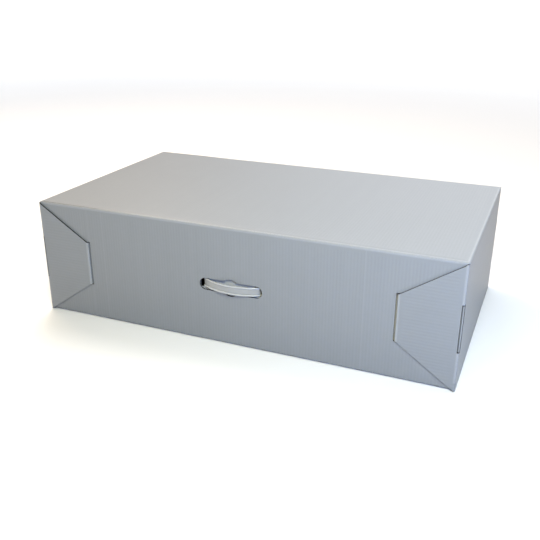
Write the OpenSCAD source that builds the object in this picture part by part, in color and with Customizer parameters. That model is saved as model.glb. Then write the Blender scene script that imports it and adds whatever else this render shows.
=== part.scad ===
// Storage box for a wedding dress.
// A tray and a full-depth lid, each folded from one sheet of corrugated board and locked at
// its corners by flaps whose tips turn through slits, with a moulded strap handle in front.
// Origin: middle of the footprint, on the floor. +X to the right, +Y to the back, +Z up.

/* [Box] */
// Length of the closed box
box_l = 800; // [650:10:950]
// Depth of the closed box, from front flaps to back flaps
box_d = 460; // [350:10:600]
// Height of the closed box
box_h = 225; // [185:5:300]
// Thickness of the corrugated board
board_t = 3; // [2:0.5:4]

/* [Fit] */
// Gap between two layers of board that lie on each other
ply_gap = 0.3; // [0.2:0.1:0.6]
// Gap round the tray inside the lid
slide_gap = 1.5; // [1:0.25:3]
// Height of the lid's rim over the floor
rim_lift = 1.5; // [0.5:0.5:6]
// Gap between the tray's rim and the lid's top panel
rim_seat = 0.3; // [0.2:0.1:1]

/* [Corner locks] */
// Reach of a corner flap along the long wall, to the outside of its tip fold
flap_reach = 105; // [85:5:140]
// Height of a flap at its tip
flap_tip_h = 85; // [60:5:100]
// Width of the relief notch at a flap's folded corner
relief_w = 6.5; // [5:0.5:12]
// Depth of that relief notch
relief_drop = 3.3; // [1:0.1:6]
// Open width of the slit beside the tip fold
slit_open = 3.4; // [2:0.2:6]
// Room at each end of the slit, and behind the fold in it
slit_room = 0.75; // [0.5:0.05:1.5]
// Radius of the slit's corners
slit_r = 1.6; // [0.5:0.1:1.9]
// Step from the tip fold down to the tongue, at each end
tongue_step = 1.5; // [1:0.25:3]
// Length of the tongue behind the wall
tongue_l = 60; // [40:5:75]
// Narrowing of the tongue at each side of its end
tongue_taper = 12; // [5:1:20]
// Height of the slot in the upright corner fold
corner_slot_h = 83; // [50:1:100]
// Width of that slot on the flap
corner_slot_w = 4.2; // [3:0.2:6]
// Gap above and below the wall's end tab in the corner slot
tab_gap = 1.3; // [0.5:0.1:3]
// Distance of the tab's end from the end wall's outer face
tab_inset = 0.4; // [0.2:0.1:1]

/* [Rolled front wall] */
// Gap between the inner ply's edges and the panels beside it
ply_inset = 4; // [2:0.5:8]

/* [Handle slot] */
// Length of the handle slot in the front wall
slot_l = 121; // [112:1:145]
// Room above and below the strap in the handle slot
slot_room = 2.75; // [2:0.25:4]
// Diameter of the round notch in the middle of the slot
notch_d = 32.5; // [29:0.5:40]
// Room above and below each leg in its hole in the inner ply
leg_room = 1.1; // [1.1:0.1:2]
// Reach of a leg hole past the leg, away from the middle
leg_hole_out = 9; // [4:0.5:12]
// Corner radius of the leg holes
leg_hole_r = 1; // [0.4:0.1:1.2]
// How far the strap can be pushed in before the bow meets the inner ply
push_room = 2; // [1:0.5:3]
// Clearance of the bow from the inner ply when it is pushed in
push_clear = 0.6; // [0.4:0.1:1.5]

/* [Strap] */
// Width of the strap over its beads
strap_w = 17; // [14:0.5:19]
// Thickness of the web between the beads
web_t = 1.8; // [1.2:0.1:2.4]
// Diameter of the bead along each edge
bead_d = 3.2; // [2.6:0.1:4]
// How far the bow stands out from the front wall
bow_out = 9.6; // [5:0.1:11]
// Slope of the bow where it meets the leg bends
bow_angle = 30; // [26:1:34]
// Outer radius of the bends into the legs
bend_r = 10; // [7:0.5:12]
// How much slimmer the bends are than the bow, on each side
bend_slim = 0.15; // [0.1:0.05:0.3]
// Length by which one stretch of the strap runs into the next
bend_lap = 0.6; // [0.4:0.1:1]
// Thickness of the flat legs
leg_t = 2.2; // [1.8:0.1:2.4]
// Distance of each leg from the end of the handle slot
leg_inset = 5.5; // [4:0.5:8]
// Distance of the feet behind the inner ply, with the strap at rest
foot_room = 12.3; // [5:0.1:15]
// Thickness of a foot
foot_t = 3.2; // [2:0.2:5]
// Depth of a foot along the wall
foot_d = 4.6; // [4.2:0.1:6]
// Radius of a foot's corners
foot_r = 1.5; // [0.5:0.1:2]
// Reach of a foot past its hole, above and below
foot_over = 4; // [2:0.5:6]
// Lean of the strap in its holes
strap_lean = 0.9; // [0:0.1:1.1]

/* [Tray front] */
// Room beside the handle slot in the tray's front cut-out
cutout_side = 20; // [12:1:40]
// Room below the feet in the cut-out
cutout_below = 8; // [4:1:25]
// Radius of the cut-out's lower corners
cutout_r = 20; // [5:1:30]

/* [Hidden] */
$fn = 48;
cut = 1;
quarter_turn = 90;

// Layers of the long walls, as distances in from the flaps' outer face
wall_out = board_t + ply_gap;
wall_in = wall_out + board_t;
tongue_out = wall_in + ply_gap;
tongue_in = tongue_out + board_t;
ply_out = tongue_in + ply_gap;
ply_in = ply_out + board_t;

lid_h = box_h - rim_lift;
tray_l = box_l - 2 * (board_t + slide_gap);
tray_front = ply_in + slide_gap;
tray_back = tongue_in + slide_gap;
tray_d = box_d - tray_front - tray_back;
tray_y = (tray_front - tray_back) / 2;
tray_h = box_h - board_t - rim_seat;

tongue_h = flap_tip_h - 2 * tongue_step;
slit_w = slit_room + board_t + slit_open;
slit_h = flap_tip_h + 2 * slit_room;

slot_h = strap_w + 2 * slot_room;
handle_z = rim_lift + lid_h / 2;
leg_x = slot_l / 2 - leg_inset;
leg_hole_h = strap_w + 2 * leg_room;
foot_w = leg_hole_h + 2 * foot_over;
bow_r = (leg_x - bend_r * (1 - sin(bow_angle))) / sin(bow_angle);
bow_y = -box_d / 2 + wall_out - bow_out + bow_r;
bend_x = (bow_r - bend_r) * sin(bow_angle);
bend_y = bow_y - (bow_r - bend_r) * cos(bow_angle);
foot_y = max(bend_y, -box_d / 2 + ply_in + foot_room);
// Depth of the pushed-in bow's centre behind the inner ply, and where its back meets the ply
bow_depth = bow_y + box_d / 2 - ply_out + push_room;
bow_meets_ply = sqrt(pow(bow_r - bead_d, 2) - pow(bow_depth, 2));
cutout_w = slot_l + 2 * cutout_side;
cutout_z = handle_z - foot_w / 2 - cutout_below;

function ply_length(l) = l - 2 * (wall_out + ply_inset);

board_colour = [0.70, 0.73, 0.76];
tray_colour = [0.76, 0.77, 0.78];
strap_colour = [0.90, 0.90, 0.88];

// Quarter round of a fold about the Z axis, in the +X +Y quarter
module fold(h) {
    intersection() {
        cylinder(r = board_t, h = h);
        cube([board_t, board_t, h]);
    }
}

// Oblong with its middle at the origin and round corners
module round_oblong(w, h, r) {
    square([w - 2 * r, h], center = true);
    square([w, h - 2 * r], center = true);
    for (sx = [-1, 1], sy = [-1, 1])
        translate([sx * (w / 2 - r), sy * (h / 2 - r)]) circle(r = r);
}

// Section of a panel of width w whose two edges turn down into folds
module panel_section(w) {
    intersection() {
        translate([-w / 2, 0]) square([w, board_t]);
        union() {
            translate([-w / 2 + board_t, 0]) square([w - 2 * board_t, board_t]);
            for (s = [-1, 1]) translate([s * (w / 2 - board_t), 0]) circle(r = board_t);
        }
    }
}

// Flat panel of the shell, with a fold along each of its four edges
module panel(l, d, h) {
    wall_span = d - 2 * wall_out;
    translate([0, 0, h - board_t]) intersection() {
        translate([0, wall_span / 2, 0]) rotate([quarter_turn, 0, 0])
            linear_extrude(wall_span) panel_section(l);
        translate([-l / 2, 0, 0]) rotate([quarter_turn, 0, quarter_turn])
            linear_extrude(l) panel_section(wall_span);
    }
}

// Outline of a corner flap: X runs from the corner along the wall, Y up from the rim
module flap_outline(h) {
    polygon([
        [board_t, 0],
        [flap_reach - board_t, h / 2 - flap_tip_h / 2],
        [flap_reach - board_t, h / 2 + flap_tip_h / 2],
        [relief_w, h - board_t - relief_drop],
        [board_t, h - board_t]
    ]);
}

// Outline of the tongue, from its fold at X = 0 back towards the corner
module tongue_outline() {
    polygon([
        [0, -tongue_h / 2],
        [0, tongue_h / 2],
        [-tongue_l, tongue_h / 2 - tongue_taper],
        [-tongue_l, -tongue_h / 2 + tongue_taper]
    ]);
}

// One corner flap: X runs from the corner along the wall, Y runs inwards
module corner_flap(h) {
    translate([board_t, board_t, 0]) rotate(2 * quarter_turn) fold(h - board_t);
    translate([0, board_t, 0]) rotate([quarter_turn, 0, 0]) linear_extrude(board_t) flap_outline(h);
    translate([flap_reach - board_t, board_t, h / 2 - flap_tip_h / 2]) rotate(-quarter_turn)
        fold(flap_tip_h);
}

// The flap's return: a web through the slit, a fold, and the tongue behind the wall
module flap_return(h) {
    translate([flap_reach - board_t, 0, h / 2]) {
        translate([0, board_t, -tongue_h / 2]) cube([board_t, tongue_out - board_t, tongue_h]);
        translate([0, tongue_out, -tongue_h / 2]) fold(tongue_h);
        translate([0, tongue_in, 0]) rotate([quarter_turn, 0, 0])
            linear_extrude(board_t) tongue_outline();
    }
}

// Places its children at the four corners, with X along the wall and Y inwards
module at_corners(l, d) {
    for (sx = [-1, 1], sy = [-1, 1])
        mirror([sx > 0 ? 1 : 0, 0, 0]) mirror([0, sy > 0 ? 1 : 0, 0])
            translate([-l / 2, -d / 2, 0]) children();
}

// End walls with the corner flaps that turn off them, slotted at the upright folds
module ends_and_flaps(l, d, h) {
    difference() {
        union() {
            for (s = [-1, 1])
                translate([s * (l - board_t) / 2, 0, (h - board_t) / 2])
                    cube([board_t, d - 2 * board_t, h - board_t], center = true);
            at_corners(l, d) corner_flap(h);
        }
        at_corners(l, d) translate([-cut, -cut, (h - corner_slot_h) / 2])
            cube([corner_slot_w + cut, tongue_out + cut, corner_slot_h]);
    }
    at_corners(l, d) flap_return(h);
}

// Front and back walls, each with two slits for the flaps and a tab at each end
module long_walls(l, d, h) {
    wall_l = l - 2 * wall_out;
    tab_h = corner_slot_h - 2 * tab_gap;
    for (s = [-1, 1])
        translate([0, s * (d / 2 - wall_out - board_t / 2), (h - board_t) / 2])
            cube([wall_l, board_t, h - board_t], center = true);
    at_corners(l, d) translate([tab_inset, wall_out, (h - tab_h) / 2])
        cube([wall_out, board_t, tab_h]);
}

// The slits that the flaps' tips pass through
module slits(l, d, h) {
    at_corners(l, d)
        translate([flap_reach - board_t - slit_room + slit_w / 2, wall_in + ply_gap / 2, h / 2])
            rotate([quarter_turn, 0, 0]) linear_extrude(board_t + ply_gap)
                round_oblong(slit_w, slit_h, slit_r);
}

// One sheet folded into an open shell: panel on top, rim at z = 0
module folded_shell(l, d, h) {
    panel(l, d, h);
    ends_and_flaps(l, d, h);
    difference() {
        long_walls(l, d, h);
        slits(l, d, h);
    }
}

// Quarter round of a fold along the X axis, turned about that axis
module fold_along_x(l, turn) {
    rotate([turn, 0, 0]) rotate([0, quarter_turn, 0]) rotate(quarter_turn) fold(l);
}

// Turns the front wall under at its rim and up again as an inner ply
module rolled_ply(l, d, h) {
    translate([-ply_length(l) / 2, -d / 2, 0]) {
        translate([0, wall_in, board_t]) fold_along_x(ply_length(l), 2 * quarter_turn);
        translate([0, wall_in, 0]) cube([ply_length(l), ply_out - wall_in, board_t]);
        translate([0, ply_out, board_t]) fold_along_x(ply_length(l), -quarter_turn);
        translate([0, ply_out, board_t])
            cube([ply_length(l), board_t, h - 2 * board_t - ply_inset]);
    }
}

// The strip at the foot of the front wall that the rolled edge takes the place of
module rolled_edge_room(l, d) {
    translate([-ply_length(l) / 2, -d / 2 + wall_out - ply_gap / 2, -cut])
        cube([ply_length(l), board_t + ply_gap, board_t + cut]);
}

// Outline of the handle slot with its round notch
module handle_slot_outline() {
    square([slot_l - slot_h, slot_h], center = true);
    for (s = [-1, 1]) translate([s * (slot_l - slot_h) / 2, 0]) circle(d = slot_h);
    circle(d = notch_d);
}

// Outline of one leg hole in the inner ply, measured from the middle of the slot
module leg_hole_outline() {
    hole_in = bow_meets_ply - push_clear;
    hole_out = leg_x + leg_hole_out;
    translate([(hole_in + hole_out) / 2, 0])
        round_oblong(hole_out - hole_in, leg_hole_h, leg_hole_r);
}

module lid() color(board_colour) translate([0, 0, rim_lift]) difference() {
    union() {
        difference() {
            folded_shell(box_l, box_d, lid_h);
            rolled_edge_room(box_l, box_d);
        }
        rolled_ply(box_l, box_d, lid_h);
    }
    translate([0, -box_d / 2 + wall_in + ply_gap, lid_h / 2]) rotate([quarter_turn, 0, 0])
        linear_extrude(wall_in + cut) handle_slot_outline();
    for (s = [0, 1])
        translate([0, -box_d / 2 + ply_in + cut, lid_h / 2]) mirror([s, 0, 0])
            rotate([quarter_turn, 0, 0]) linear_extrude(board_t + 2 * cut) leg_hole_outline();
}

module base_tray() color(tray_colour) translate([0, tray_y, 0]) difference() {
    translate([0, 0, tray_h]) mirror([0, 0, 1]) folded_shell(tray_l, tray_d, tray_h);
    translate([0, -tray_d / 2 + tongue_in, cutout_z]) rotate([quarter_turn, 0, 0])
        linear_extrude(tongue_in + cut) front_cutout();
}

// Outline of the tray's front cut-out, open at the rim
module front_cutout() {
    depth = tray_h - cutout_z;
    translate([-cutout_w / 2, cutout_r]) square([cutout_w, depth - cutout_r + cut]);
    translate([-cutout_w / 2 + cutout_r, 0]) square([cutout_w - 2 * cutout_r, cutout_r]);
    for (s = [-1, 1]) translate([s * (cutout_w / 2 - cutout_r), cutout_r]) circle(r = cutout_r);
}

// Section of the strap with its outer face at radius r, slimmed all round by slim
module strap_section(r, slim = 0) {
    bead_z = (strap_w - bead_d) / 2;
    web = web_t - 2 * slim;
    translate([r - (bead_d + web) / 2, -bead_z]) square([web, 2 * bead_z]);
    for (s = [-1, 1]) translate([r - bead_d / 2, s * bead_z]) circle(d = bead_d - 2 * slim);
}

// The bowed grip of the strap
module strap_bow() {
    translate([0, bow_y, 0]) rotate(-quarter_turn - bow_angle)
        rotate_extrude(angle = 2 * bow_angle) strap_section(bow_r);
}

// One end of the strap, at +X: the bend into the box, the flat leg and its foot
module strap_end() {
    lap_angle = bend_lap / (bend_r - bead_d / 2) * 2 * quarter_turn / PI;
    leg_w = strap_w - bead_d / 2;
    translate([bend_x, bend_y, 0]) rotate(-quarter_turn + bow_angle - lap_angle)
        rotate_extrude(angle = quarter_turn - bow_angle + lap_angle)
            strap_section(bend_r, bend_slim);
    translate([leg_x - bead_d / 2, 0, 0]) {
        translate([-leg_t / 2, bend_y - bend_lap, -leg_w / 2])
            cube([leg_t, foot_y + foot_t / 2 - bend_y + bend_lap, leg_w]);
        translate([0, foot_y + foot_t, 0]) rotate([quarter_turn, 0, 0])
            linear_extrude(foot_t) round_oblong(foot_d, foot_w, foot_r);
    }
}

module carry_handle() color(strap_colour)
    translate([0, 0, handle_z]) rotate([0, strap_lean, 0]) {
        strap_bow();
        for (s = [0, 1]) mirror([s, 0, 0]) strap_end();
    }

base_tray();
lid();
carry_handle();
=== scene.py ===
"""Looks of the storage box for a wedding dress: fluted board with cut edges, and a moulded strap."""

import bisect
import math

import bmesh
import bpy
from mathutils import Matrix, Vector, noise


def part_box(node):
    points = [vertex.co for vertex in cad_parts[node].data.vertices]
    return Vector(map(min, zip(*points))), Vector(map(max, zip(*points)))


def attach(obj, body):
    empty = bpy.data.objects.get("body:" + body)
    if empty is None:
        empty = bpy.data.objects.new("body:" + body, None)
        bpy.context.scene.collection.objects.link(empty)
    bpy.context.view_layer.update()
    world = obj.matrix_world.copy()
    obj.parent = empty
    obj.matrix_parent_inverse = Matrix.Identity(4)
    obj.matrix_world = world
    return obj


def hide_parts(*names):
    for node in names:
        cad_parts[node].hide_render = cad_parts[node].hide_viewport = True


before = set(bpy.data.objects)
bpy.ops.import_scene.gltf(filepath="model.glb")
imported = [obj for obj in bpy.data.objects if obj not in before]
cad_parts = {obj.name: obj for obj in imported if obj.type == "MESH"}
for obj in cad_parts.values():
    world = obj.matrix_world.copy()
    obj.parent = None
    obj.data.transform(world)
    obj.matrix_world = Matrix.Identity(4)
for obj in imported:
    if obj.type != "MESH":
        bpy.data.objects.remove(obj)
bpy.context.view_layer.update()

MM = 0.001
X, Y, Z = range(3)

# The board, as in the part's source
BOARD = 3.0
PLY_GAP = 0.3
WALL_OUT = BOARD + PLY_GAP
WALL_IN = WALL_OUT + BOARD
TONGUE_OUT = WALL_IN + PLY_GAP
TONGUE_IN = TONGUE_OUT + BOARD
PLY_OUT = TONGUE_IN + PLY_GAP
PLY_IN = PLY_OUT + BOARD
FLAP_REACH = 105.0
FLUTE_PITCH = 5.6

# How the board's surface lies, in millimetres
FLUTE_DEPTH = 0.15
FLUTE_START, FLUTE_FULL = 3.0, 12.0
CREASE_SINK, CREASE_REACH = 0.45, 9.0
CUT_ROUNDING = 0.45
TAB_STANDS_OUT, TAB_HALF_H = 2.9, 41.0
CUTS_PER_FLUTE = 3

# The slits at the flaps' tips and the holes for the strap's legs, in the source and as drawn
SLIT_FAR_SIDE, SLIT_CORNER = 108.4, 1.6
SLIT_TAKEN_IN, SLIT_CORNER_SCALE = 0.5, 0.45
LEG_HOLE_FROM_END, LEG_HOLE_HALF_H = 335.0, 10.0
LEG_HOLE_TAKEN_IN, LEG_HOLE_RAISED = 2.2, 1.3

# The handle slot and the strap, with the strap's bends as near the slot's ends as in the photograph
HANDLE_Z = 113.25
STRAP_W = 17.0
BEAD_D = 3.2
BOW_R, BOW_Y, BOW_ANGLE = 105.0, -131.3, 30.0
BEND_R, BEND_X, BEND_Y = 10.0, 47.5, -213.57
LEG_X, LEG_T = 57.5, 2.2
FOOT_Y, FOOT_T, FOOT_D, FOOT_W = -204.8, 3.2, 4.6, 27.2
STRAP_LEAN = 0.9

PRINTED, PLAIN, CUT = range(3)
NO_FOLD = 99.0


# Colours, and the places of the faint lines that the folding press left on the front wall, which are
# painted lighter as a painted highlight along each pressed ridge
SILVER = (0.180, 0.191, 0.204)
# Colour of the folds: rubbed print together with a painted highlight along each fold
FOLD_WEAR_AND_HIGHLIGHT = (0.252, 0.264, 0.278)
LINER = (0.42, 0.42, 0.405)
STRAP = (0.385, 0.39, 0.39)
PRESS_LINES = (-294.0, -262.0, 240.0)
FRONT_WALL_Y = -0.22


def smooth(share):
    """Eases a share from 0 to 1."""
    share = min(max(share, 0.0), 1.0)
    return share * share * (3 - 2 * share)


class FoldedSheet:
    """A tray or lid folded from one sheet of board, read from its CAD node."""

    # Each panel: the axis it is measured in from, the places of its printed and plain faces,
    # and the axis across its flutes
    PANELS = {
        "panel": (Z, 0.0, BOARD, X),
        "end": (X, 0.0, BOARD, Z),
        "flap": (Y, 0.0, BOARD, Z),
        "wall": (Y, WALL_OUT, WALL_IN, X),
        "tongue": (Y, TONGUE_IN, TONGUE_OUT, Z),
        "web": (X, FLAP_REACH, FLAP_REACH - BOARD, Z),
        "ply": (Y, PLY_IN, PLY_OUT, X),
    }

    def __init__(self, node, opens_down, rolled_front):
        self.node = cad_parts[node]
        low, high = (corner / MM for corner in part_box(node))
        self.low, self.high = low, high
        self.opens_down, self.rolled_front = opens_down, rolled_front
        self.height = high.z - low.z

    def insets(self, point):
        """How far a point lies in from the end wall, the long side and the outer panel, in mm."""
        x, y, z = point / MM
        from_panel = self.high.z - z if self.opens_down else z - self.low.z
        return Vector((self.high.x - abs(x), min(y - self.low.y, self.high.y - y), from_panel))

    def panel_and_side(self, face):
        """The panel that a face belongs to, and whether it is printed, plain or cut."""
        inset = self.insets(face.calc_center_median())
        normal = [abs(part) for part in face.normal]
        axis = normal.index(max(normal))
        if normal[axis] < 0.999:
            in_top_fold = inset[X] < BOARD and inset[Z] < BOARD
            is_cut = normal[Y] < 0.1 and not in_top_fold
            return (self.cut_panel(inset), CUT) if is_cut else ("fold", PRINTED)
        if axis == X and inset[X] < 0.5 and WALL_OUT < inset[Y] < WALL_IN:
            return "wall", PRINTED
        if self.is_strip(inset, axis):
            return "strip", PRINTED if inset[Z] > self.height - 1 else PLAIN
        for name, (across, printed, plain, _) in self.PANELS.items():
            if across != axis or (name == "tongue" and inset[X] < BOARD):
                continue
            if name == "panel" and inset[Y] < BOARD:
                continue
            for side, place in ((PRINTED, printed), (PLAIN, plain)):
                if abs(inset[axis] - place) < 0.15:
                    return name, side
        return self.cut_panel(inset), CUT

    def is_strip(self, inset, axis):
        """True in the strip that joins the rolled front wall to its inner ply."""
        return (self.rolled_front and axis == Z and WALL_IN - 1 < inset[Y] < PLY_OUT + 1
                and inset[X] > WALL_IN and inset[Z] > self.height - BOARD - 0.1)

    def cut_panel(self, inset):
        """The panel whose raw edge lies at this place."""
        if inset[Y] < BOARD:
            return "flap"
        in_web = FLAP_REACH - BOARD < inset[X] < FLAP_REACH
        if in_web and inset[Y] < TONGUE_OUT and abs(self.height / 2 - inset[Z]) < 42:
            return "web"
        if inset[X] < BOARD and inset[Y] > WALL_IN:
            return "end"
        if inset[Y] < WALL_IN + 0.1:
            return "wall"
        return "tongue" if inset[Y] < TONGUE_IN + 0.1 else "ply"

    def from_fold(self, panel, inset):
        """Distance of a place on a panel from the nearest fold, in mm."""
        to_rim = self.height - inset[Z] - BOARD
        return max(0.0, {
            "panel": min(inset[X] - BOARD, inset[Y] - WALL_IN),
            "end": min(inset[Z] - BOARD, inset[Y] - BOARD),
            "flap": min(inset[X] - BOARD, FLAP_REACH - BOARD - inset[X]),
            "wall": min(inset[Z] - BOARD, inset[X] - PLY_GAP,
                        to_rim if self.rolled_front else NO_FOLD),
            "tongue": FLAP_REACH - BOARD - inset[X],
            "ply": to_rim,
        }.get(panel, 0.0))

    def across_flutes(self, panel):
        return self.PANELS[panel][3] if panel in self.PANELS else X

    def is_fluted(self, face, axis):
        """True for a flat face away from the folds whose flutes follow one another along an axis."""
        if max(abs(part) for part in face.normal) < 0.999:
            return False
        panel = self.panel_and_side(face)[0]
        return self.across_flutes(panel) == axis and any(
            self.from_fold(panel, self.insets(corner.co)) > FLUTE_START + 0.01
            for corner in face.verts)


def slice_faces(mesh, faces, axis, places):
    """Cuts faces at each place along an axis."""
    parts = {part for face in faces for part in (face, *face.edges, *face.verts)}
    across = Vector((0, 0, 0))
    across[axis] = 1
    for place in places:
        made = bmesh.ops.bisect_plane(
            mesh, geom=list(parts), dist=1e-7, plane_co=across * place, plane_no=across)["geom"]
        parts = {part for part in made if part.is_valid and (
            not isinstance(part, bmesh.types.BMFace)
            or max(corner.co[axis] for corner in part.verts) > place + 1e-7)}


def cut_flutes(mesh, faces, axis, places):
    """Cuts fluted faces into strips, column by column between the places already cut."""
    columns = {}
    for face in faces:
        number = bisect.bisect(places, face.calc_center_median()[axis])
        columns.setdefault(number, []).append(face)
    plain = {number: all(len(face.verts) == 4 for face in found)
             for number, found in columns.items()}
    for number in sorted(columns, key=lambda number: (plain[number], number)):
        low, high = places[number - 1], places[number]
        strips = round((high - low) / (FLUTE_PITCH * MM) * CUTS_PER_FLUTE)
        if strips < 2:
            continue
        if plain[number]:
            along = {edge for face in columns[number] for edge in face.edges
                     if abs(edge.verts[0].co[axis] - edge.verts[1].co[axis]) > (high - low) / 2}
            bmesh.ops.subdivide_edges(mesh, edges=list(along), cuts=strips - 1)
        else:
            slice_faces(mesh, columns[number], axis,
                        [low + (high - low) * i / strips for i in range(1, strips)])


def hold_places(low, high, from_edges, step):
    """Places close to both ends of a span and about a step apart between them, in metres, with
    whole flutes between the inner ones."""
    near = [low + inset for inset in from_edges] + [high - inset for inset in from_edges]
    first = math.ceil((low + max(from_edges)) / FLUTE_PITCH + 0.5)
    last = math.floor((high - max(from_edges)) / FLUTE_PITCH - 0.5)
    count = max(1, round((last - first) * FLUTE_PITCH / step))
    between = [(first + (last - first) * i // count) * FLUTE_PITCH for i in range(count + 1)]
    return [place * MM for place in sorted(near + between)]


def unevenness(point):
    """Slow rise and fall of a board panel, from 0 to 1."""
    return 0.5 + 0.5 * noise.noise(Vector((point.x * 5.5, point.y * 5.5, point.z * 5.5)))


def settle(sheet, point, inset):
    """How a place in the sheet moves as the large panels sag and the walls give, in metres."""
    down = -1 if sheet.opens_down else 1
    move = Vector((0, 0, 0))
    if inset[Z] < BOARD + 0.1:
        free = smooth((inset[X] - 4) / 120) * smooth((inset[Y] - 7) / 120)
        move.z = down * free * (0.5 + 0.6 * unevenness(point)) * MM
    elif inset[Y] < PLY_IN + 0.1:
        inwards = 1 if point.y < 0 else -1
        free = smooth((inset[Z] - 4) / 80) * smooth((inset[X] - 3) / 90)
        if inset[Y] > TONGUE_IN:  # the inner ply, which the strap's feet hold near the handle
            free *= smooth((abs(point.x) / MM - 75) / 60)
        move.y = inwards * free * (0.3 + 0.6 * unevenness(point)) * MM
        in_tab = (inset[X] < BOARD + 0.4
                  and abs(inset[Z] - sheet.height / 2) < TAB_HALF_H)
        if in_tab and WALL_OUT - 0.1 < inset[Y] < WALL_IN + 0.1:
            move.y -= inwards * TAB_STANDS_OUT * (1 if inset[X] > 2 else 0.75) * MM
    elif inset[X] < BOARD + 0.1:
        inwards = 1 if point.x < 0 else -1
        free = smooth((inset[Z] - 4) / 80) * smooth((inset[Y] - 13) / 80)
        move.x = inwards * free * 0.6 * unevenness(point) * MM
    return move


def draw_cuts_tighter(mesh, sheet):
    """Draws the slits at the flaps' tips narrower and the leg holes shorter, as they show."""
    slit_corner = SLIT_FAR_SIDE - SLIT_CORNER
    for corner in mesh.verts:
        inset = sheet.insets(corner.co)
        outwards = math.copysign(MM, corner.co.x)
        up = corner.co.z / MM - HANDLE_Z
        in_wall = WALL_OUT - 0.1 < inset[Y] < WALL_IN + 0.1
        in_ply = PLY_OUT - 0.1 < inset[Y] < PLY_IN + 0.1
        if in_wall and slit_corner - 0.1 < inset[X] < SLIT_FAR_SIDE + 0.1:
            taken_in = SLIT_TAKEN_IN + (inset[X] - slit_corner) * SLIT_CORNER_SCALE
            corner.co.x += outwards * taken_in
        elif in_ply and abs(up) < LEG_HOLE_HALF_H and inset[X] > LEG_HOLE_FROM_END:
            corner.co.x -= outwards * LEG_HOLE_TAKEN_IN * smooth((340 - inset[X]) / 4)
            if corner.co.x < 0:
                corner.co.z += LEG_HOLE_RAISED * smooth((-up - 8) / 1.6) * MM


def fold_board(node, name, body, opens_down, rolled_front, finishes):
    """Makes the shown piece of a folded sheet: soft cut edges, flutes, creases and slack."""
    sheet = FoldedSheet(node, opens_down, rolled_front)
    mesh = bmesh.new()
    mesh.from_mesh(sheet.node.data)
    bmesh.ops.remove_doubles(mesh, verts=mesh.verts, dist=1e-6)
    bmesh.ops.dissolve_limit(
        mesh, angle_limit=math.radians(0.4), verts=mesh.verts, edges=mesh.edges)
    for face in mesh.faces:
        face.material_index = sheet.panel_and_side(face)[1]
    draw_cuts_tighter(mesh, sheet)

    raw = [edge for edge in mesh.edges
           if any(face.material_index == CUT for face in edge.link_faces)
           and edge.is_convex and edge.calc_face_angle(0) > math.radians(35)]
    bmesh.ops.bevel(mesh, geom=raw, offset=CUT_ROUNDING * MM, offset_type="OFFSET",
                    segments=2, profile=0.5, affect="EDGES", clamp_overlap=True, material=CUT)

    near_fold = [BOARD + step for step in (1.2, FLUTE_START, 5.5, 8.5, FLUTE_FULL)]
    near_crease = [WALL_IN + step for step in (1.2, FLUTE_START, 5.5, 8.5, FLUTE_FULL)]
    by_tip = [FLAP_REACH - place for place in near_fold]
    low, high = sheet.low, sheet.high
    places = {X: hold_places(low.x, high.x, near_fold + by_tip, 90),
              Y: hold_places(low.y, high.y, near_fold + near_crease, 75),
              Z: hold_places(low.z, high.z, near_fold, 45)}
    for axis in (X, Y, Z):
        slice_faces(mesh, mesh.faces[:], axis, places[axis])

    for axis in (X, Z):
        fluted = [face for face in mesh.faces if face.material_index != CUT
                  and sheet.is_fluted(face, axis)]
        cut_flutes(mesh, fluted, axis, [low[axis] * MM, *places[axis], high[axis] * MM])

    shape_board(mesh, sheet)
    for face in mesh.faces:
        face.smooth = True
    data = bpy.data.meshes.new(name)
    mesh.to_mesh(data)
    mesh.free()
    data.set_sharp_from_angle(angle=math.radians(32))
    for finish in finishes:
        data.materials.append(finish)
    piece = bpy.data.objects.new(name, data)
    bpy.context.scene.collection.objects.link(piece)
    weighting = piece.modifiers.new("even_shading", "WEIGHTED_NORMAL")
    weighting.keep_sharp = True
    weighting.mode = "FACE_AREA"
    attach(piece, body)
    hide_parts(node)
    return piece


def shape_board(mesh, sheet):
    """Notes each corner's place in the board, then sinks the flutes and creases."""
    place = mesh.loops.layers.float_vector.new("board_place")
    sunk = {}
    for face in mesh.faces:
        panel, side = sheet.panel_and_side(face)
        side = CUT if face.material_index == CUT else side
        across = sheet.across_flutes(panel)
        axis, printed, plain, _ = sheet.PANELS.get(panel, (Z, 0.0, BOARD, X))
        for corner in face.loops:
            point = corner.vert.co
            inset = sheet.insets(point)
            folded = sheet.from_fold(panel, inset)
            depth = (inset[axis] - printed) / (plain - printed)
            at_rim = inset[Z] > sheet.height - FLUTE_FULL
            corner[place] = (point[across] / MM, depth, NO_FOLD if at_rim else folded)
            if side == CUT:
                continue
            wave = 0.5 - 0.5 * math.cos(2 * math.pi * point[across] / MM / FLUTE_PITCH)
            ease = smooth((folded - FLUTE_START) / (FLUTE_FULL - FLUTE_START))
            sink = FLUTE_DEPTH * wave * ease
            if side == PRINTED:
                sink += CREASE_SINK * (1 - smooth(folded / CREASE_REACH))
            total, weight = sunk.get(corner.vert, (Vector((0, 0, 0)), 0))
            sunk[corner.vert] = (total - face.normal * sink * MM, weight + 1)
    moves = {corner: settle(sheet, corner.co, sheet.insets(corner.co)) for corner in mesh.verts}
    for corner, (total, weight) in sunk.items():
        moves[corner] += total / weight
    for corner, move in moves.items():
        corner.co += move


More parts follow.
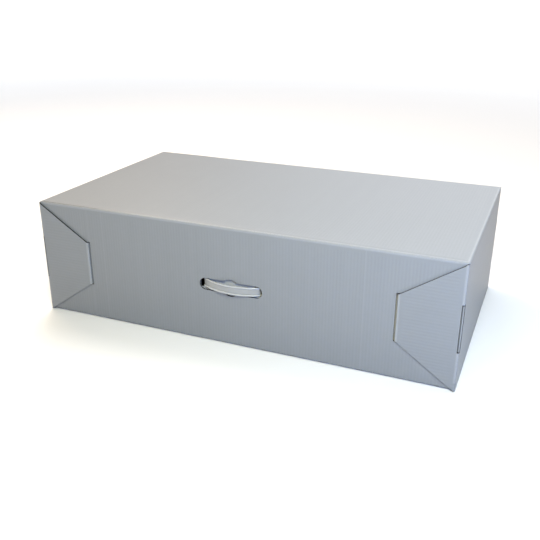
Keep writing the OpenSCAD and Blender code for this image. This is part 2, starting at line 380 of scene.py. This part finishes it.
def strap_ring(flat):
    """Section of the strap as depths behind its face and heights; flat is 0 at the bow and 1 at
    the leg."""
    bead = BEAD_D / 2 + (LEG_T / 2 - BEAD_D / 2) * flat
    bead_z = STRAP_W / 2 - BEAD_D / 2 - 0.3 * flat
    middle = BEAD_D / 2
    upper = [(middle - 0.5 - 0.6 * flat, z) for z in (0, 1.5, 3, 4)]
    upper += [(middle - 0.1 - flat, 4.7), (middle + 0.15 - 1.25 * flat, 5.2)]
    for degrees in range(-36, 217, 18):
        turn = math.radians(degrees)
        upper.append((middle - bead * math.cos(turn), bead_z + bead * math.sin(turn)))
    upper += [(middle + 0.85 + 0.25 * flat, 5.2), (middle + 0.9 + 0.2 * flat, 2.6)]
    back = (middle + 0.9 + 0.2 * flat, 0.0)
    lower = [(depth, -z) for depth, z in reversed(upper[1:])]
    return upper + [back] + lower


def strap_path():
    """Places along the strap's face from one foot to the other, each with its outward direction
    and how flat the strap is there."""
    half = []
    for i in range(25):
        turn = math.radians(BOW_ANGLE * i / 24)
        out = Vector((math.sin(turn), -math.cos(turn), 0))
        half.append((Vector((0, BOW_Y, 0)) + out * BOW_R, out, 0.0))
    for i in range(1, 13):
        turn = math.radians(BOW_ANGLE + (90 - BOW_ANGLE) * i / 12)
        out = Vector((math.sin(turn), -math.cos(turn), 0))
        half.append((Vector((BEND_X, BEND_Y, 0)) + out * BEND_R, out, smooth((i - 6) / 6)))
    half.append((Vector((LEG_X, FOOT_Y + FOOT_T - 0.5, 0)), Vector((1, 0, 0)), 1.0))
    mirrored = [(Vector((-point.x, point.y, 0)), Vector((-out.x, out.y, 0)), flat)
                for point, out, flat in half[1:]]
    return mirrored[::-1] + half


def rounded_block(mesh, centre, size, radius):
    """Adds a block with rounded edges."""
    block = bmesh.ops.create_cube(mesh, size=1)["verts"]
    bmesh.ops.scale(mesh, vec=size, verts=block)
    bmesh.ops.translate(mesh, vec=centre, verts=block)
    edges = {edge for corner in block for edge in corner.link_edges}
    bmesh.ops.bevel(mesh, geom=list(edges), offset=radius, segments=4, profile=0.5, affect="EDGES")


def mould_strap(finish):
    """The strap: a bowed web with a bead along each edge, bent legs and feet."""
    mesh = bmesh.new()
    rings = []
    for point, out, flat in strap_path():
        rings.append([mesh.verts.new(point - out * depth + Vector((0, 0, height)))
                      for depth, height in strap_ring(flat)])
    for ring, following in zip(rings, rings[1:]):
        for i in range(len(ring)):
            j = (i + 1) % len(ring)
            mesh.faces.new((ring[i], ring[j], following[j], following[i]))
    mesh.faces.new(rings[0])
    mesh.faces.new(rings[-1][::-1])
    for side in (-1, 1):
        rounded_block(mesh, (side * (LEG_X - BEAD_D / 2), FOOT_Y + FOOT_T / 2, 0),
                      (FOOT_D, FOOT_T, FOOT_W), 1.2)
    bmesh.ops.recalc_face_normals(mesh, faces=mesh.faces)
    lean = Matrix.Rotation(math.radians(STRAP_LEAN), 4, "Y")
    mesh.transform(Matrix.Scale(MM, 4) @ Matrix.Translation((0, 0, HANDLE_Z)) @ lean)
    for face in mesh.faces:
        face.smooth = True
    data = bpy.data.meshes.new("moulded_strap")
    mesh.to_mesh(data)
    mesh.free()
    data.set_sharp_from_angle(angle=math.radians(50))
    data.materials.append(finish)
    piece = bpy.data.objects.new("moulded_strap", data)
    bpy.context.scene.collection.objects.link(piece)
    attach(piece, "handle")
    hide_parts("carry_handle")
    return piece


class Wire:
    """The output of a node. Python's operators on it add Math nodes to its finish."""

    def __init__(self, finish, socket):
        self.finish, self.socket = finish, socket

    def maths(self, operation, *values):
        return self.finish.node("ShaderNodeMath", {"operation": operation}, dict(enumerate(values)))

    def __add__(self, other):
        return self.maths("ADD", self, other)

    __radd__ = __add__

    def __sub__(self, other):
        return self.maths("SUBTRACT", self, other)

    def __rsub__(self, other):
        return self.maths("SUBTRACT", other, self)

    def __mul__(self, other):
        return self.maths("MULTIPLY", self, other)

    __rmul__ = __mul__

    def __truediv__(self, other):
        return self.maths("DIVIDE", self, other)

    def __rtruediv__(self, other):
        return self.maths("DIVIDE", other, self)

    def __lt__(self, other):
        return self.maths("LESS_THAN", self, other)

    def __gt__(self, other):
        return self.maths("GREATER_THAN", self, other)

    def __abs__(self):
        return self.maths("ABSOLUTE", self)

    def cosine(self):
        return self.maths("COSINE", self)

    def eased(self, start, end):
        """0 at start, 1 at end, smooth between them."""
        settings = {"interpolation_type": "SMOOTHSTEP"}
        return self.finish.node("ShaderNodeMapRange", settings, {0: self, 1: start, 2: end})

    def part(self, name):
        return self.finish.node("ShaderNodeSeparateXYZ", {}, {0: self}, name)


class Finish:
    """A material made of nodes."""

    def __init__(self, name):
        self.material = bpy.data.materials.new(name)
        self.material.use_nodes = True
        self.tree = self.material.node_tree
        self.tree.nodes.clear()

    def node(self, kind, settings, inputs, output=0):
        """Adds a node, sets it up, then fills or links its sockets."""
        made = self.tree.nodes.new(kind)
        for name, setting in settings.items():
            setattr(made, name, setting)
        for name, value in inputs.items():
            if isinstance(value, Wire):
                self.tree.links.new(value.socket, made.inputs[name])
            else:
                made.inputs[name].default_value = value
        return Wire(self, made.outputs[output])

    def place(self):
        return self.node("ShaderNodeTexCoord", {}, {}, "Object")

    def blotches(self, where, scale, detail=2.0, roughness=0.5):
        """Soft noise from 0 to 1."""
        return self.node("ShaderNodeTexNoise", {}, {
            "Vector": where, "Scale": scale, "Detail": detail, "Roughness": roughness})

    def stretched(self, where, factors):
        return self.node("ShaderNodeVectorMath", {"operation": "MULTIPLY"}, {0: where, 1: factors})

    def mixed(self, share, first, second):
        """A mix of two colours."""
        sockets = {6: (*first, 1) if isinstance(first, tuple) else first,
                   7: (*second, 1) if isinstance(second, tuple) else second, 0: share}
        return self.node("ShaderNodeMix", {"data_type": "RGBA"}, sockets, 2)

    def bump(self, height, distance):
        return self.node("ShaderNodeBump", {}, {"Height": height, "Distance": distance})

    def surface(self, **inputs):
        """Ends the material in a Principled shader."""
        named = {name.replace("_", " "): value for name, value in inputs.items()}
        shader = self.node("ShaderNodeBsdfPrincipled", {}, named)
        end = self.tree.nodes.new("ShaderNodeOutputMaterial")
        self.tree.links.new(shader.socket, end.inputs["Surface"])
        return self.material


def printed_board(name, colour, light):
    """Silver-grey printed face of the board, with flutes that show through and folds painted
    lighter: partly rubbed print, partly a painted highlight along each fold.
    """
    finish = Finish(name)
    board = finish.node("ShaderNodeAttribute", {"attribute_name": "board_place"}, {}, "Vector")
    across, folded = board.part("X"), board.part("Z")
    where = finish.place()
    flute_ease = folded.eased(FLUTE_START, FLUTE_FULL)
    wave = (across * (2 * math.pi / FLUTE_PITCH)).cosine()
    fibres = finish.blotches(where, 900, 3.0, 0.7)
    mottle = finish.blotches(where, 130, 2.0, 0.6)
    clouds = finish.blotches(where, 9, 2.0, 0.5)
    streaks = finish.blotches(finish.node(
        "ShaderNodeCombineXYZ", {}, {0: across / FLUTE_PITCH, 1: where.part("Y") * 1.5,
                                     2: where.part("Z") * 1.5}), 0.7, 2.0, 0.6)
    on_front = where.part("Y") < FRONT_WALL_Y
    # The press lines painted lighter: a painted highlight along each pressed ridge
    press_line_highlight = 0.0
    for place in PRESS_LINES:
        press_line_highlight = press_line_highlight + (abs(across - place) < 0.9) * on_front
    # The tone rises and falls with each flute as painted shade of the ribs
    tone = 0.5 + wave * flute_ease * 0.16 + (streaks - 0.5) * flute_ease * 0.45
    tone = tone + (fibres - 0.5) * 0.2 + (mottle - 0.5) * 0.3
    tone = tone + (clouds - 0.5) * 0.3 + press_line_highlight * 0.6
    # Lighter along the folds: rubbed print, and a painted highlight where each fold turns to the
    # light
    rubbed_and_highlit = (1 - folded.eased(0.1, 3.0)) * (0.5 + fibres.eased(0.3, 0.7) * 0.5)
    dark = tuple(part * 0.92 for part in colour)
    bright = tuple(part * 1.08 for part in colour)
    shown = finish.mixed(rubbed_and_highlit, finish.mixed(tone, dark, bright), light)
    return finish.surface(Base_Color=shown, Roughness=0.42 + (fibres - 0.5) * 0.12,
                          Normal=finish.bump(fibres + mottle, 0.00004))


def plain_liner(name, colour):
    """Unprinted inner face of the board."""
    finish = Finish(name)
    board = finish.node("ShaderNodeAttribute", {"attribute_name": "board_place"}, {}, "Vector")
    across, folded = board.part("X"), board.part("Z")
    where = finish.place()
    wave = (across * (2 * math.pi / FLUTE_PITCH)).cosine()
    fibres = finish.blotches(where, 650, 4.0, 0.75)
    # The tone rises and falls with each flute as painted shade of the ribs
    tone = 0.5 + wave * folded.eased(FLUTE_START, FLUTE_FULL) * 0.14 + (fibres - 0.5) * 0.5
    dark = tuple(part * 0.92 for part in colour)
    bright = tuple(min(part * 1.06, 1) for part in colour)
    return finish.surface(Base_Color=finish.mixed(tone, dark, bright), Roughness=0.78,
                          Normal=finish.bump(fibres, 0.00006))


def cut_edge(name):
    """Raw edge of the board: two liners with the wavy medium and hollows between them, all painted
    near black as painted shade of the slits and seams, the hollows darkest.
    """
    finish = Finish(name)
    board = finish.node("ShaderNodeAttribute", {"attribute_name": "board_place"}, {}, "Vector")
    across, depth = board.part("X"), board.part("Y")
    fibres = finish.blotches(finish.place(), 1200, 3.0, 0.7)
    wave = (across * (2 * math.pi / FLUTE_PITCH)).cosine()
    medium = abs(depth - 0.5 - wave * 0.36)
    liner = abs(depth - 0.5)
    shaded_hollow = medium.eased(0.09, 0.17) * (1 - liner.eased(0.36, 0.42))
    # Painted shade: the paper of the cut edge is painted near black, and the open hollows darker
    # still
    paper_painted_in_shade = finish.mixed(fibres, (0.035, 0.035, 0.035), (0.075, 0.075, 0.075))
    return finish.surface(Base_Color=finish.mixed(shaded_hollow, paper_painted_in_shade, (0.02, 0.02, 0.02)),
                          Roughness=0.85, Normal=finish.bump(fibres - shaded_hollow, 0.0003))


def moulded_plastic(name, colour):
    """Off-white plastic of the strap, satin with faint flow marks, its recessed web painted darker
    as painted shade between the beads.
    """
    finish = Finish(name)
    where = finish.place()
    flow = finish.blotches(finish.stretched(where, (40, 200, 300)), 1.0, 3.0, 0.5)
    grain = finish.blotches(where, 2500, 2.0, 0.5)
    up = (where.part("Z") + where.part("X") * math.sin(math.radians(STRAP_LEAN))) / MM - HANDLE_Z
    # Painted shade: the web between the beads is painted darker, as if shaded by them
    web = 1 - abs(up).eased(4.6, 5.8)
    flowed = finish.mixed(flow, tuple(part * 0.96 for part in colour), colour)
    shown = finish.mixed(web, flowed, tuple(part * 0.66 for part in colour))
    return finish.surface(Base_Color=shown, Roughness=0.24 + (flow - 0.5) * 0.06,
                          Normal=finish.bump(grain, 0.000004))


def studio_floor():
    """Plain pale floor that runs on to the horizon, lit from within far behind the part."""
    finish = Finish("pale_floor")
    where = finish.place()
    shade = finish.blotches(where, 0.8)
    away = finish.node("ShaderNodeVectorMath", {"operation": "LENGTH"}, {0: where}, "Value")
    glow = finish.mixed(away.eased(1.4, 5.5), (0, 0, 0), (0.45, 0.45, 0.45))
    colour = finish.mixed(shade, (0.80, 0.80, 0.80), (0.82, 0.82, 0.82))
    mesh = bmesh.new()
    bmesh.ops.create_circle(mesh, cap_ends=True, segments=96, radius=40)
    data = bpy.data.meshes.new("studio_floor")
    mesh.to_mesh(data)
    mesh.free()
    data.materials.append(finish.surface(
        Base_Color=colour, Roughness=0.9, Emission_Color=glow, Emission_Strength=1.0))
    floor = bpy.data.objects.new("studio_floor", data)
    bpy.context.scene.collection.objects.link(floor)


def lamp(name, kind, power, place, aim=(0, 0, 0)):
    """A soft light at a place that faces a point. Its power is given by colour."""
    light = bpy.data.lights.new(name, kind)
    light.energy = max(power)
    light.color = [part / max(power) for part in power]
    holder = bpy.data.objects.new(name, light)
    holder.location = place
    holder.rotation_euler = (Vector(place) - Vector(aim)).to_track_quat("Z", "Y").to_euler()
    bpy.context.scene.collection.objects.link(holder)
    return light


def studio_light():
    """Bright sky-like light from behind, a weak warm one from the left, and three softboxes that
    give the front its rise in brightness and coolness towards the right. The backdrop is white
    where it meets the floor and dark higher up."""
    world = bpy.data.worlds.new("studio")
    world.use_nodes = True
    nodes, links = world.node_tree.nodes, world.node_tree.links
    nodes["Background"].inputs["Color"].default_value = (1, 1, 1, 1)
    height, fading = nodes.new("ShaderNodeSeparateXYZ"), nodes.new("ShaderNodeMapRange")
    for socket, value in zip(list(fading.inputs)[1:5], (0.12, 0.26, 0.9, 0.01)):
        socket.default_value = value
    links.new(nodes.new("ShaderNodeTexCoord").outputs["Generated"], height.inputs[0])
    links.new(height.outputs["Z"], fading.inputs["Value"])
    links.new(fading.outputs["Result"], nodes["Background"].inputs["Strength"])
    bpy.context.scene.world = world
    lamp("behind", "SUN", (2.62, 2.79, 3.08), (0.1, 1, 0.9)).angle = math.radians(70)
    lamp("left", "SUN", (1.32, 1.17, 0.98), (-1, -0.6, 0.9)).angle = math.radians(70)
    lamp("over_camera", "AREA", (18.2, 18.4, 14.0), (0.5, -1.1, 1.1), (0.35, -0.2, 0.15)).size = 0.3
    lamp("right_front", "AREA", (2.0, 3.8, 8.8), (0.8, -1.0, 0.55), (0.35, -0.23, 0.12)).size = 0.3
    lamp("left_back", "AREA", (34.4, 27.9, 20.6), (-1.2, 0.8, 1.8), (-0.1, 0, 0.1)).size = 1.4


def camera_as_photographed():
    """The camera that a fit to the corners of the box in the photograph gave."""
    yaw, pitch, roll = (math.radians(degrees) for degrees in (-22.60, -22.55, 0.19))
    forward = Vector((math.sin(yaw) * math.cos(pitch), math.cos(yaw) * math.cos(pitch),
                      math.sin(pitch)))
    right = Vector((math.cos(yaw), -math.sin(yaw), 0))
    up = right.cross(forward)
    across = right * math.cos(roll) + up * math.sin(roll)
    upright = up * math.cos(roll) - right * math.sin(roll)
    lens = bpy.data.cameras.new("photograph")
    lens.sensor_width = 36
    lens.lens = 1.2898 * lens.sensor_width
    lens.clip_start, lens.clip_end = 0.01, 200
    camera = bpy.data.objects.new("photograph", lens)
    turned = Matrix((across, upright, -forward)).transposed().to_4x4()
    camera.matrix_world = Matrix.Translation((0.4942, -1.2324, 0.6126)) @ turned
    bpy.context.scene.collection.objects.link(camera)
    bpy.context.scene.camera = camera


scene = bpy.context.scene
scene.view_settings.view_transform = "Standard"
camera_as_photographed()
studio_floor()
studio_light()

raw_edge = cut_edge("cut_board_edge")
inner_liner = plain_liner("plain_liner", LINER)
fold_board("lid", "lid_board_sheet", "lid", True, True,
           [printed_board("silver_print", SILVER, FOLD_WEAR_AND_HIGHLIGHT), inner_liner, raw_edge])
fold_board("base_tray", "tray_board_sheet", "tray", False, False,
           [printed_board("tray_print", SILVER, FOLD_WEAR_AND_HIGHLIGHT), inner_liner, raw_edge])
mould_strap(moulded_plastic("strap_plastic", STRAP))
